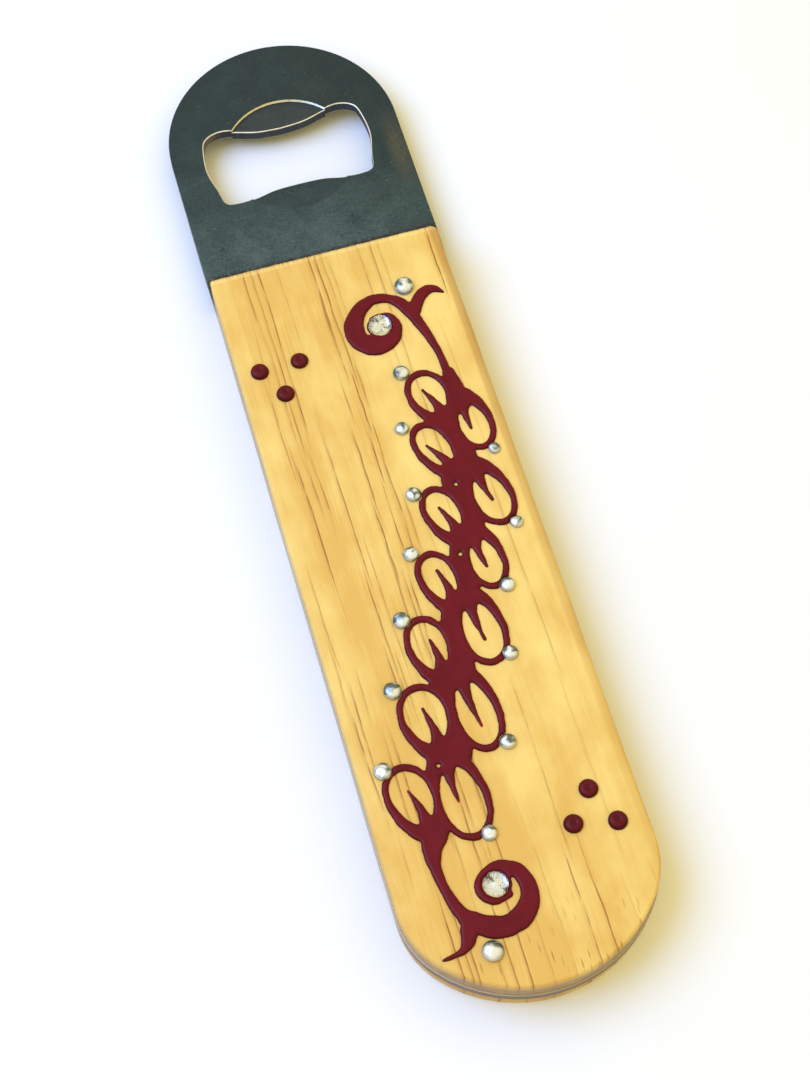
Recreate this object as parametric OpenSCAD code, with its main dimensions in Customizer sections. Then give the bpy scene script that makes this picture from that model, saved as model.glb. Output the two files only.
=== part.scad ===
// Flat bar-blade bottle opener: a full-length steel blade between two glued pine scales,
// with a raised scroll vine, paint drops and two flat-backed stones on the front scale.
// It lies on its back: +Z up, +Y towards the opener head, origin under its middle.

/* [Blade] */
// Width of the steel blade
blade_w = 40; // [38:0.5:44]
// Length of the blade from the head to the rounded end
blade_l = 174.4; // [172:0.2:180]
// Thickness of the steel
blade_t = 2; // [1.5:0.1:2.5]
// Radius of the wide arc at the handle end
end_r = 22; // [21:0.5:26]
// Radius of the two corners of the handle end
end_corner_r = 14; // [10:0.5:16]

/* [Cap mouth] */
// Width of the mouth
mouth_w = 29; // [26:0.2:30]
// Height of the mouth at its two side lobes
mouth_h = 15.4; // [14:0.2:16]
// Distance from the top of the head to the top of the mouth
mouth_drop = 15.8; // [15:0.2:18]
// How far the upper lip hangs into the mouth
upper_lip = 1.8; // [1:0.1:2.5]
// How far the lower lip rises into the mouth
lower_lip = 1.1; // [0.5:0.1:2]
// Width of the pressed lens behind each lip
lens_w = 16.8; // [14:0.2:19]
// Height of the pressed lens above the side lobes
lens_rise = 3.7; // [2.5:0.1:5]
// Depth that the upper lens is pressed down
upper_lens_depth = 0.6; // [0.3:0.1:0.9]
// Depth that the lower lens is pressed down
lower_lens_depth = 0.2; // [0.1:0.1:0.6]

/* [Scales] */
// Thickness of the front pine scale
front_scale_t = 4.4; // [3:0.1:6]
// Thickness of the back pine scale
back_scale_t = 3; // [2.5:0.1:6]
// Thickness of the glue film under each scale
glue_t = 0.1; // [0.05:0.05:0.2]
// How far the scales stop inside the blade's sides
scale_inset = 0.5; // [0.2:0.1:1]
// Sideways place of the sanded handle against the head
handle_shift = -0.25; // [-0.4:0.05:0]
// Distance from the top of the head to the saw-cut end of the scales
scale_start = 48; // [44:0.5:60]
// Radius of the sanded edge round each scale
scale_round = 0.9; // [0.5:0.1:2]
// Radius of the right corner at the saw-cut end
scale_corner_r = 1.2; // [1:0.1:4]
// Radius of the left corner at the saw-cut end
left_corner_r = 0.4; // [0.3:0.1:2]

/* [Painted vine] */
// Height of the paint above the wood
paint_h = 0.5; // [0.3:0.05:0.9]
// Width of the painted leaf outlines
leaf_line = 1.15; // [0.9:0.05:1.5]
// Radius that the wet paint leaves in its inner corners
paint_fillet = 0.22; // [0.1:0.02:0.3]
// Sideways place of the middle of the vine
vine_x = -0.5; // [-1.5:0.1:0.5]
// Lengthwise place of the middle of the vine
vine_y = -23.5; // [-25:0.1:-22]
// Turn of the vine against the length of the handle, in degrees
vine_turn = 0.25; // [-0.5:0.05:0.5]

/* [Dots, drops and stones] */
// Width of the maroon dots
dot_w = 3; // [2.4:0.1:3.4]
// Height of the maroon dots
dot_h = 0.9; // [0.6:0.1:1.4]
// Width of the two large silver drops
big_drop_w = 3.3; // [2.8:0.1:3.6]
// Height of the silver drops as a share of their width
drop_rise = 0.4; // [0.25:0.05:0.5]
// Width of the flat-backed stones
stone_w = 3.8; // [3.4:0.1:4.2]
// Height of the stones above their foil
stone_h = 1.5; // [1:0.1:2]
// Thickness of the mirror foil under each stone
foil_t = 0.12; // [0.1:0.02:0.2]

/* [Hidden] */
// Heights of the layers, from the table up
back_z = back_scale_t;
blade_z = back_z + glue_t;
front_glue_z = blade_z + blade_t;
front_z = front_glue_z + glue_t;
face_z = front_z + front_scale_t;

// Places along the length
head_r = blade_w / 2;
head_y = blade_l / 2 - head_r;
tail_y = -blade_l / 2;
scale_top_y = blade_l / 2 - scale_start;
mouth_top_y = blade_l / 2 - mouth_drop;
mouth_low_y = mouth_top_y - mouth_h;
mouth_corner_r = 3.2;
mouth_foot_r = 2.6;
mouth_side_bow = 0.9;
lobe_x = mouth_w / 2 - 3.6;
glue_setback = 0.25;
end_flush = scale_inset - 0.1;
steel_proud = 0.1;
right_sanding = 14;
left_sanding = 5;

// Leaf and thorn shapes
egg_swell = 0.13;
leaf_root = 2.2;
thorn_foot = 2.9;
thorn_waist = [0.56, 0.34];
thorn_tip = 0.42;
stone_rings = [0.5, 0.9];
thorn_bend = 0.25;

// Steps along arcs, curves, leaves and sanded edges
arc_steps = 16;
curve_steps = 6;
egg_steps = 30;
round_steps = 4;

DOTS = 6;
DROPS = 15;
STONES = ["upper", "lower"];
function names(stem, count) = [for (i = [1:count]) str(stem, "_", i)];

// Centres of the maroon dots, from the middle of the vine
dot_places = [
    [-15.4, 43.5], [-8.8, 43.7], [-12.5, 38.4],
    [12.5, -38.0], [8.7, -42.4], [15.0, -43.8]
];

// Silver drops: x, y from the middle of the vine, and width
drop_places = [
    [11.3, 52.2, big_drop_w],
    [6.3, 36.7, 2.8], [3.4, 26.9, 2.4], [1.9, 15.1, 2.6], [-1.4, 5.5, 2.6],
    [-6.0, -4.8, 2.8], [-10.4, -15.3, 2.9], [-15.4, -26.9, 2.9],
    [16.4, 19.3, 2.0], [15.8, 6.1, 2.2], [11.1, -3.7, 2.5],
    [8.2, -14.5, 2.5], [3.5, -27.7, 2.6], [-3.3, -40.3, 2.5],
    [-7.9, -56.7, big_drop_w]
];

// Centres of the stones, from the middle of the vine
stone_places = [[5.5, 46.2], [-4.7, -47.7]];

// Leaves, from the top of each side: centre, width and height of the open inside, its lean in
// degrees, and how far the thorn's tip stands from that centre
left_leaves = [
    [[9.4, 31.6], [5.0, 7.3], 14, [-0.8, 1.1]],
    [[7.5, 22.2], [4.3, 7.9], 20, [-1.2, 0.7]],
    [[5.5, 10.8], [4.4, 7.8], 15, [-0.5, 1.1]],
    [[1.6, 0.2], [4.5, 7.9], 12, [0, 1.5]],
    [[-3.1, -10.0], [5.0, 8.3], 8, [0.3, 1.1]],
    [[-6.9, -20.7], [6.0, 8.8], 7, [-0.1, 1.5]],
    [[-12.4, -32.0], [5.7, 8.7], 12, [-0.3, 1.2]]
];
right_leaves = [
    [[14.6, 24.5], [4.4, 7.6], 5, [-0.6, -0.7]],
    [[13.4, 11.5], [5.0, 8.7], 10, [0, -0.7]],
    [[9.2, 1.2], [4.4, 7.9], 5, [-0.1, -1.1]],
    [[5.2, -9.7], [5.4, 9.7], 4, [0, -1.6]],
    [[0.4, -22.0], [5.4, 10.7], 5, [0.2, -2.3]],
    [[-5.5, -34.2], [6.0, 10.8], 4, [-0.6, -0.2]]
];

// Pin holes where the wet paint didn't close
pin_holes = [[8.7, 15.0], [5.8, 3.3], [-7.3, -28.4]];
pin_hole_w = 0.6;

// Thick zigzag stem between the leaves: x, y and width
stem = [
    [13.5, 34.6, 2.0], [13.6, 31.0, 3.1], [12.7, 27.8, 3.0], [10.2, 26.3, 4.4], [10.9, 22.3, 3.4],
    [11.4, 19.0, 4.0], [9.2, 16.3, 5.0], [9.0, 12.8, 3.6], [9.2, 9.3, 3.6], [8.0, 6.2, 5.6],
    [5.7, 2.8, 3.4], [5.5, -1.2, 3.4], [3.5, -4.8, 6.2], [1.0, -7.9, 3.4], [1.0, -11.7, 3.2],
    [-0.8, -15.4, 6.6], [-3.3, -18.7, 3.0], [-3.4, -22.2, 2.4], [-5.2, -26.8, 7.0], [-8.2, -30.2, 3.2],
    [-9.1, -34.2, 2.0], [-10.6, -37.6, 4.0], [-12.0, -40.6, 2.8], [-12.2, -43.4, 1.7],
    [-11.8, -46.4, 1.5], [-11.0, -49.4, 1.9], [-9.9, -51.6, 2.6]
];

// Upper scroll from the stem, round, to the inside of its eye, and its flick
upper_scroll = [
    [13.3, 35.2, 1.3], [13.2, 38.2, 1.2], [12.6, 41.4, 1.4], [11.9, 44.2, 1.7], [10.5, 48.4, 2.2],
    [8.3, 50.7, 1.7], [5.6, 51.3, 1.9], [3.1, 50.0, 2.5], [1.4, 47.4, 3.2], [1.5, 44.6, 3.3],
    [3.7, 42.7, 3.4], [6.4, 43.3, 3.0], [8.1, 45.6, 1.7], [7.2, 47.6, 1.2], [5.6, 48.1, 0.7],
    [4.4, 47.9, 0.5]
];
upper_flick = [
    [11.7, 47.4, 2.2], [12.7, 49.1, 2.1], [14.4, 50.5, 1.9], [16.0, 50.4, 1.2], [17.2, 49.4, 0.35]
];

// Lower scroll, from the stem to the inside of its eye, and its flick
lower_scroll = [
    [-9.9, -51.4, 2.6], [-7.3, -53.3, 3.3], [-4.3, -53.8, 3.2], [-1.7, -52.5, 3.2], [-0.3, -49.8, 2.6],
    [-1.1, -46.7, 2.2], [-3.6, -45.3, 1.9], [-6.2, -46.2, 1.6], [-7.1, -48.1, 1.5], [-5.7, -49.8, 1.4],
    [-3.3, -49.5, 1.2]
];
lower_flick = [[-10.3, -53.0, 2.6], [-11.0, -54.6, 1.9], [-12.3, -55.6, 1.0], [-15.0, -56.0, 0.35]];

// Points on an arc about c
function arc(c, r, a0, a1, steps = arc_steps) =
    [for (i = [0:steps]) let (a = a0 + (a1 - a0) * i / steps) c + r * [cos(a), sin(a)]];

// One point of a smooth curve through p1 and p2, at t from 0 to 1
function curve_at(p0, p1, p2, p3, t) =
    0.5 * (2 * p1 + (p2 - p0) * t + (2 * p0 - 5 * p1 + 4 * p2 - p3) * t * t
        + (3 * p1 - p0 - 3 * p2 + p3) * t * t * t);

// Smooth curve through every point of a list
function curve(p) = let (last = len(p) - 1) concat(
    [for (i = [0:last - 1], k = [0:curve_steps - 1])
        curve_at(p[max(i - 1, 0)], p[i], p[i + 1], p[min(i + 2, last)], k / curve_steps)],
    [p[last]]
);

function xy(p) = [p[0], p[1]];
function unit(v) = v / norm(v);
function side_of(p, i) = let (d = unit(xy(p[min(i + 1, len(p) - 1)]) - xy(p[max(i - 1, 0)]))) [-d[1], d[0]];

// Half of the handle end: the right corner and the wide end arc, stopped inset inside the blade
function tail_half(inset) = let (
    corner_x = head_r - end_corner_r,
    gap = end_r - end_corner_r,
    corner_y = tail_y + end_r - sqrt(gap * gap - corner_x * corner_x),
    turn = asin(corner_x / gap)
) concat(
    arc([0, tail_y + end_r], end_r - inset, -90, -90 + turn, 8),
    [for (i = [1:arc_steps]) let (a = -90 + turn + (90 - turn) * i / arc_steps)
        [corner_x, corner_y] + (end_corner_r - inset) * [cos(a), sin(a)]]
);

function mirrored(p) = [for (i = [len(p) - 1:-1:1]) [-p[i][0], p[i][1]]];

// The same half moved down so that the scales' round end is nearly flush with the steel
function handle_half(inset) = [for (p = tail_half(scale_inset + inset)) p - [0, end_flush]];

// A handle outline moved to where the handle was sanded
function sanded(p) = [for (q = p) q + [handle_shift, 0]];

// Outline of the blade: the head keeps its full width, and the handle is sanded down with the scales
function blade_outline() = let (
    tail = handle_half(-steel_proud),
    side = tail[len(tail) - 1][0]
) concat(
    sanded(tail),
    [[handle_shift + side, scale_top_y - right_sanding], [head_r, scale_top_y]],
    arc([0, head_y], head_r, 0, 180, 4 * arc_steps),
    [[-head_r, scale_top_y + left_sanding], [handle_shift - side, scale_top_y - left_sanding]],
    sanded(mirrored(tail))
);

// Outline of a scale, stopped inset inside its widest outline
function scale_outline(inset) = let (
    half = head_r - scale_inset - inset,
    top = scale_top_y - inset / 3,
    right_r = max(scale_corner_r - inset / 2, 0.2),
    left_r = max(left_corner_r - inset / 2, 0.2),
    tail = handle_half(inset)
) sanded(concat(
    tail,
    arc([half - right_r, top - right_r], right_r, 0, 90, 6),
    arc([left_r - half, top - left_r], left_r, 90, 180, 6),
    mirrored(tail)
));

// Right half of the mouth, from the tip of the lower lip, up to the tip of the upper lip
function mouth_half() = let (
    side = mouth_w / 2,
    top_c = [lobe_x, mouth_top_y - mouth_corner_r],
    low_c = [lobe_x + 0.4, mouth_low_y + mouth_foot_r]
) curve([
    [0, mouth_low_y + lower_lip],
    [lens_w / 4, mouth_low_y + 0.86 * lower_lip],
    [lens_w / 2 - 0.6, mouth_low_y + 0.18 * lower_lip],
    [lobe_x, mouth_low_y],
    low_c + mouth_foot_r * [cos(-50), sin(-50)],
    [side - mouth_side_bow, low_c[1] + 0.8],
    [side, (mouth_low_y + mouth_top_y) / 2 + 0.2],
    [side - 0.5, top_c[1] + 0.6],
    top_c + mouth_corner_r * [cos(48), sin(48)],
    [lobe_x, mouth_top_y],
    [lens_w / 2, mouth_top_y - 0.25],
    [lens_w / 4, mouth_top_y - 0.8 * upper_lip],
    [0, mouth_top_y - upper_lip]
]);
function mouth_outline() = let (h = mouth_half())
    concat(h, [for (i = [len(h) - 2:-1:1]) [-h[i][0], h[i][1]]]);

// Lens behind a lip: the cap of a circle that stands on a chord at y, up for way 1 and down for way -1
module lens(y, way, rise, depth) {
    half = lens_w / 2;
    r = (half * half + rise * rise) / (2 * rise);
    intersection() {
        translate([0, y + way * (rise - r), 0]) cylinder(r = r, h = depth, $fn = 180);
        translate([-half, way > 0 ? y - 2 * upper_lip : y - rise, 0])
            cube([2 * half, rise + 2 * upper_lip, depth]);
    }
}

// The lenses: the mouth's edge that each springs from, its way, its rise and its depth
lenses = [
    [mouth_top_y - 0.2, 1, lens_rise + 0.2, upper_lens_depth],
    [mouth_low_y + 0.1, -1, lens_rise + 0.4, lower_lens_depth]
];

// Steel blade: the mouth is punched through, and each lens is pressed down through the plate
module blade() color("#44504f") difference() {
    union() {
        translate([0, 0, blade_z]) linear_extrude(blade_t) polygon(blade_outline());
        for (l = lenses) translate([0, 0, blade_z - l[3]]) lens(l[0], l[1], l[2], l[3] + blade_t / 2);
    }
    for (l = lenses) translate([0, 0, front_glue_z - l[3]]) lens(l[0], l[1], l[2], 2 * l[3]);
    translate([0, 0, blade_z - blade_t]) linear_extrude(3 * blade_t) polygon(mouth_outline());
}

// Films of hard glue between the blade and the scales
module glue_film(z) translate([0, 0, z]) linear_extrude(glue_t) polygon(scale_outline(glue_setback));
module front_glue() color("#5a4a36") glue_film(front_glue_z);
module back_glue() color("#5a4a36") glue_film(back_z);

// Pine scale of thickness t: a flat plate whose outer edge is sanded to a quarter round
module pine_scale(t) {
    rings = concat(
        [[0, 0]],
        [for (k = [0:round_steps]) let (a = 90 * k / round_steps)
            [scale_round * (1 - cos(a)), t - scale_round * (1 - sin(a))]]
    );
    outlines = [for (ring = rings) [for (p = scale_outline(ring[0])) [p[0], p[1], ring[1]]]];
    count = len(outlines[0]);
    last = len(rings) - 1;
    polyhedron(
        points = [for (o = outlines) each o],
        faces = concat(
            [[for (i = [0:count - 1]) i]],
            [for (k = [0:last - 1], i = [0:count - 1])
                [k * count + i, (k + 1) * count + i, (k + 1) * count + (i + 1) % count,
                 k * count + (i + 1) % count]],
            [[for (i = [count - 1:-1:0]) last * count + i]]
        )
    );
}
module front_scale() color("#e6c478") translate([0, 0, front_z]) pine_scale(front_scale_t);
module back_scale() color("#dcb86c") translate([0, 0, back_z]) mirror([0, 0, 1])
    pine_scale(back_scale_t);

// A brush stroke along a list of points, each x, y and width
module stroke(points) {
    p = curve(points);
    n = len(p);
    polygon(concat(
        [for (i = [0:n - 1]) xy(p[i]) + side_of(p, i) * p[i][2] / 2],
        [for (i = [n - 1:-1:0]) xy(p[i]) - side_of(p, i) * p[i][2] / 2]
    ));
    for (e = [p[0], p[n - 1]]) translate(xy(e)) circle(d = e[2], $fn = 20);
}

// Egg shape w wide and h high, blunt at the end that way points to
function egg(w, h, way) = [for (a = [0:360 / egg_steps:359])
    [w / 2 * cos(a) * (1 + egg_swell * way * sin(a)), h / 2 * sin(a)]];

// One leaf's open inside
module leaf_inside(l, way) translate(l[0]) rotate(l[2]) polygon(egg(l[1][0], l[1][1], way));

// The same leaf filled, with its line round it and a longer root towards the stem
module leaf_filled(l, way) translate(l[0]) rotate(l[2]) translate([0, -way * leaf_root / 2])
    polygon(egg(l[1][0] + 2 * leaf_line, l[1][1] + 2 * leaf_line + leaf_root, way));

// Thorn from the stem's end of a leaf to its tip inside it
module thorn(l, way) {
    foot = l[0] - way * (l[1][1] / 2 + 0.6) * [-sin(l[2]), cos(l[2])];
    tip = l[0] + l[3];
    reach = tip - foot;
    stroke([
        concat(foot, [thorn_foot]),
        concat(foot + 0.3 * reach + [way * thorn_bend, 0], [thorn_waist[0] * thorn_foot]),
        concat(foot + 0.6 * reach + [way * thorn_bend, 0], [thorn_waist[1] * thorn_foot]),
        concat(tip, [thorn_tip])
    ]);
}

module vine_shape() {
    difference() {
        union() {
            stroke(stem);
            for (l = left_leaves) leaf_filled(l, 1);
            for (l = right_leaves) leaf_filled(l, -1);
        }
        for (l = left_leaves) leaf_inside(l, 1);
        for (l = right_leaves) leaf_inside(l, -1);
    }
    for (l = left_leaves) thorn(l, 1);
    for (l = right_leaves) thorn(l, -1);
    for (s = [upper_scroll, upper_flick, lower_scroll, lower_flick]) stroke(s);
    for (i = [0:len(STONES) - 1])
        translate(stone_places[i]) circle(d = stone_w + stone_rings[i], $fn = 48);
}

// Moves what is drawn about the middle of the vine onto the face of the front scale
module on_face() translate([vine_x, vine_y, face_z]) rotate(vine_turn) children();

// Vine of raised paint, left open where a drop or a stone stands in it
module vine() color("#6e1c28") on_face() linear_extrude(paint_h) difference() {
    offset(r = -paint_fillet, $fn = 12) offset(delta = paint_fillet) vine_shape();
    for (d = drop_places) translate(xy(d)) circle(d = d[2], $fn = 32);
    for (s = stone_places) translate(s) circle(d = stone_w, $fn = 32);
    for (p = pin_holes) translate(p) circle(d = pin_hole_w, $fn = 16);
}

// Cap of a sphere, w across and h high
module dome(w, h) {
    r = (w * w / 4 + h * h) / (2 * h);
    intersection() {
        translate([0, 0, h - r]) sphere(r = r, $fn = 64);
        translate([-w, -w, 0]) cube([2 * w, 2 * w, 2 * h]);
    }
}

module maroon_dot(i) color("#641a24") on_face() translate(dot_places[i]) dome(dot_w, dot_h);

module silver_drop(i) color("#d2d6d6") on_face() translate(xy(drop_places[i]))
    dome(drop_places[i][2], drop_rise * drop_places[i][2]);

// Flat-backed stone: a girdle, eight crown facets and a table
module stone(i) color("#e4eaec") on_face() translate(stone_places[i]) translate([0, 0, foil_t]) hull() {
    cylinder(d = 0.98 * stone_w, h = 0.25 * stone_h, $fn = 32);
    translate([0, 0, 0.65 * stone_h]) rotate(22.5) cylinder(d = 0.82 * stone_w, h = 0.01, $fn = 8);
    cylinder(d = 0.56 * stone_w, h = stone_h, $fn = 8);
}

module stone_foil(i) color("#b8bec0") on_face() translate(stone_places[i])
    cylinder(d = 0.96 * stone_w, h = foil_t, $fn = 48);

blade();
front_glue();
back_glue();
front_scale();
back_scale();
vine();
for (i = [0:DOTS - 1])
    maroon_dot(i);
for (i = [0:DROPS - 1])
    silver_drop(i);
for (i = [0:len(STONES) - 1])
    stone_foil(i);
for (i = [0:len(STONES) - 1])
    stone(i);
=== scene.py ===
"""Looks of a pine and steel bottle opener, built around its packed frame.

The flat bar lies on its back: +Z is up and +Y runs towards the opener's head. Sizes of pieces
come from the frame; the settings below hold what a maker would change by hand.
"""

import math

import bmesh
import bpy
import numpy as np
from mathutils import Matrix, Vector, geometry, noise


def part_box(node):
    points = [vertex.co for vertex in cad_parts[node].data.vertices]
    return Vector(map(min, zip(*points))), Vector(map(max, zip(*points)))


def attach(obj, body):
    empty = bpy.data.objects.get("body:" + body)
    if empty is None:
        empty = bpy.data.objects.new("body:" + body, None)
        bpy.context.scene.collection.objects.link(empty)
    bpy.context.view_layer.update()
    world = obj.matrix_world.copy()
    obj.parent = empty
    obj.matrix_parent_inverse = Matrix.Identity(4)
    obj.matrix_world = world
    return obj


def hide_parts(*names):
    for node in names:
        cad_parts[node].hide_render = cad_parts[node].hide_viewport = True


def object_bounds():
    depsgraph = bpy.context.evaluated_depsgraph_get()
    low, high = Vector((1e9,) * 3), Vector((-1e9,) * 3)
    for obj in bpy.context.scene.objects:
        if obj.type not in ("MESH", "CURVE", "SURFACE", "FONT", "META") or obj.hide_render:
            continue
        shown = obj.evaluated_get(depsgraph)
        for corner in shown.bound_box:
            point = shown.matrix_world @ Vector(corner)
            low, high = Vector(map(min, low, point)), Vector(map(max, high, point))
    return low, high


bl_info = {
    "name": "Pine and Steel Bottle Opener",
    "version": (1, 0, 0),
    "blender": (4, 5, 0),
    "location": "View3D > Sidebar > Opener",
    "description": "Builds a bottle opener with painted pine boards around its packed frame",
    "category": "Object",
}

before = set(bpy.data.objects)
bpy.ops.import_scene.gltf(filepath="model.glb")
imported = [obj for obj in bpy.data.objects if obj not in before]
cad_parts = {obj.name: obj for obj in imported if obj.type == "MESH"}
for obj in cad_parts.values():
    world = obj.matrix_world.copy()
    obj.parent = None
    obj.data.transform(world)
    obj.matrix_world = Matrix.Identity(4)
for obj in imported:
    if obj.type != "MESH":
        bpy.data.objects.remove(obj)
CAD_LOW, CAD_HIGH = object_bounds()

MM = 0.001
WELD = 2e-6
BODY = "root"

FRONT_LOW, FRONT_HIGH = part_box("front_scale")
BACK_LOW, BACK_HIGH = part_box("back_scale")
STEEL_MIDDLE = (FRONT_LOW.z + BACK_HIGH.z) / 2
SAW_CUT_Y = FRONT_HIGH.y


# ---------------------------------------------------------------- settings

def length(name, text, default, low=0.0, high=1.0):
    """A setting that is a length, in metres."""
    return bpy.props.FloatProperty(
        name=name, description=text, default=default, min=low, max=high,
        unit="LENGTH", subtype="DISTANCE", precision=5,
    )


def share(name, text, default, high=1.0):
    """A setting that is a share or a plain factor."""
    return bpy.props.FloatProperty(
        name=name, description=text, default=default, min=0.0, max=high, subtype="FACTOR",
    )


def colour(name, text, default):
    """A setting that is a scene-linear colour."""
    return bpy.props.FloatVectorProperty(
        name=name, description=text, default=default, size=3, min=0.0, max=1.0, subtype="COLOR",
    )


class SteelSettings(bpy.types.PropertyGroup):
    """The blued steel blade."""

    edge_break: length("Edge break", "Width of the broken edge round the blade", 0.00012)
    punched_edge: length("Punched edge", "Width of the bright edge round the mouth and lenses", 0.00014)
    blued: colour("Blued steel", "Colour of the blued faces", (0.092, 0.156, 0.164))
    # the dark-patch colour is also laid on as painted shade towards the head and the right side
    dark: colour("Dark patches", "Colour of the darkest patches", (0.006, 0.019, 0.029))
    bare: colour("Bare steel", "Colour of bright worn steel", (0.74, 0.73, 0.66))
    sanded: colour("Sanded steel", "Colour of the steel sanded along the handle", (0.46, 0.39, 0.30))
    stain: colour("Stain", "Colour of the oily stain beside the mouth", (0.105, 0.092, 0.052))


class PineSettings(bpy.types.PropertyGroup):
    """The two pine boards of the handle."""

    edge_round: length("Sanded edge", "Radius of the widest sanded edge round each board", 0.0012)
    sanding_wander: length("Sanding wander", "How far the hand-sanded sides wander", 0.00012)
    saw_wander: length("Saw wander", "How far the saw-cut end wanders", 0.00016)
    pale: colour("Spring wood", "Colour of the pale spring wood", (0.800, 0.622, 0.212))
    warm: colour("Warm wood", "Colour of the warmer patches", (0.640, 0.405, 0.095))
    line: colour("Summer wood", "Colour of the dark grain lines", (0.235, 0.080, 0.012))
    # this colour lays on steel dust and painted shade at the round end
    smudge_and_shade: colour("Smudged end", "Colour of the end grain with steel dust", (0.300, 0.205, 0.130))


class PaintSettings(bpy.types.PropertyGroup):
    """The raised maroon paint of the vine and the dots."""

    spacing: length("Mesh spacing", "Distance between the points of the painted bead", 0.00024)
    shoulder: length("Shoulder", "Distance over which the bead rises from its edge", 0.00055)
    wander: length("Hand wander", "How far the bead's edge wanders", 0.00010)
    wet: colour("Maroon", "Colour of thick maroon paint", (0.104, 0.0026, 0.0100))
    # this colour also lays painted shade on the paint's steep edges and on the dots' rims and craters
    edge: colour("Paint edge", "Colour of the steep edge of the paint", (0.050, 0.0020, 0.0044))
    thin: colour("Thin paint", "Colour of paint so thin that light comes through", (0.330, 0.012, 0.030))


class DropSettings(bpy.types.PropertyGroup):
    """The silver pearl drops."""

    pearl: colour("Pearl", "Colour of the pearl paint", (0.69, 0.78, 0.96))
    # the grey also lays on each drop's painted reflection and painted rim shade
    streak_and_shade: colour("Grey streak", "Colour of the grey streaks in the pearl", (0.060, 0.090, 0.100))
    wander: share("Outline wander", "How far a drop's outline strays from round", 0.10)


class StoneSettings(bpy.types.PropertyGroup):
    """The flat-backed stones and their foil."""

    facets: bpy.props.IntProperty(
        name="Main facets", description="Facets round the crown of a stone", default=7, min=5, max=16)
    table: share("Table", "Width of the flat table as a share of the stone", 0.60)
    pressed: length("Foil relief", "Height of the pressed point in the middle of the foil", 0.00014)
    tint: colour("Stone tint", "Colour of the clear stone", (0.90, 0.95, 0.98))
    foil: colour("Foil", "Colour of the mirror foil", (0.84, 0.89, 1.0))


class StageSettings(bpy.types.PropertyGroup):
    """Floor, light and camera."""

    floor: colour("Floor", "Colour of the pale floor", (0.785, 0.825, 0.905))
    key: colour("Window light", "Colour of the main soft light", (0.19, 0.43, 1.0))
    fill: colour("Room light", "Colour of the light from all round", (1.0, 0.81, 0.35))
    key_power: bpy.props.FloatProperty(
        name="Window power", description="Power of the main soft light", default=5.8, min=0.0,
        unit="POWER")
    fill_strength: share("Room strength", "Strength of the light from all round", 1.30, 3.0)
    lens: bpy.props.FloatProperty(
        name="Focal length", description="Focal length of the camera", default=66.38, min=10.0,
        unit="CAMERA")
    camera_place: bpy.props.FloatVectorProperty(
        name="Camera place", description="Where the camera stands", size=3,
        default=(-0.03519, -0.14386, 0.28602), subtype="TRANSLATION", unit="LENGTH")
    camera_turn: bpy.props.FloatVectorProperty(
        name="Camera turn", description="Turn of the camera round X, Y and Z", size=3,
        default=tuple(math.radians(a) for a in (25.621, 0.878, -16.263)), subtype="EULER",
        unit="ROTATION")


# ---------------------------------------------------------------- mesh helpers

def welded(node):
    """A mesh of a CAD node with its split corners joined and its flat faces whole."""
    shape = bmesh.new()
    shape.from_mesh(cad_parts[node].data)
    bmesh.ops.remove_doubles(shape, verts=shape.verts, dist=WELD)
    bmesh.ops.dissolve_limit(
        shape, angle_limit=math.radians(0.5), verts=shape.verts, edges=shape.edges)
    return shape


def loops_at(node, z):
    """The closed outlines of a CAD node's flat faces at height z, each an array of x, y."""
    shape = bmesh.new()
    shape.from_mesh(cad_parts[node].data)
    bmesh.ops.remove_doubles(shape, verts=shape.verts, dist=WELD)
    flat = [f for f in shape.faces if all(abs(v.co.z - z) < 5 * WELD for v in f.verts)]
    in_plane = set(flat)
    nexts = {}
    for face in flat:
        for loop in face.loops:
            if len(in_plane.intersection(loop.edge.link_faces)) == 1:
                nexts.setdefault(loop.vert, []).append(loop.link_loop_next.vert)
    found = []
    while nexts:
        start = next(iter(nexts))
        walk = [start]
        here = nexts[start].pop()
        while here is not start:
            walk.append(here)
            here = nexts[here].pop()
        nexts = {v: n for v, n in nexts.items() if n}
        found.append(np.array([v.co.xy for v in walk], float))
    shape.free()
    return found


def signed_area(loop):
    """Area inside a loop, negative where it runs clockwise."""
    after = np.roll(loop, -1, 0)
    return 0.5 * float(np.sum(loop[:, 0] * after[:, 1] - after[:, 0] * loop[:, 1]))


def resampled(loop, spacing):
    """The same closed outline with evenly spaced points."""
    closed = np.vstack([loop, loop[:1]])
    run = np.concatenate([[0], np.cumsum(np.linalg.norm(np.diff(closed, axis=0), axis=1))])
    count = max(8, int(round(run[-1] / spacing)))
    at = np.arange(count) * run[-1] / count
    return np.column_stack([np.interp(at, run, closed[:, k]) for k in (0, 1)])


def relaxed(loop, rounds):
    """A closed outline with its small corners eased, kept to size by a pass each way."""
    for _ in range(rounds):
        for push in (0.5, -0.53):
            loop = loop + push * ((np.roll(loop, 1, 0) + np.roll(loop, -1, 0)) / 2 - loop)
    return loop


def outward(loop):
    """Unit normals of a counter-clockwise closed outline, pointing out of it."""
    along = np.roll(loop, -1, 0) - np.roll(loop, 1, 0)
    along /= np.linalg.norm(along, axis=1)[:, None] + 1e-12
    return np.column_stack([along[:, 1], -along[:, 0]])


def inside(points, loops):
    """Which points lie within the outlines, holes left out."""
    hit = np.zeros(len(points), bool)
    for loop in loops:
        for a, b in zip(loop, np.roll(loop, -1, 0)):
            if a[1] == b[1]:
                continue
            across = (a[1] > points[:, 1]) != (b[1] > points[:, 1])
            where = (b[0] - a[0]) * (points[:, 1] - a[1]) / (b[1] - a[1]) + a[0]
            hit ^= across & (points[:, 0] < where)
    return hit


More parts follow.
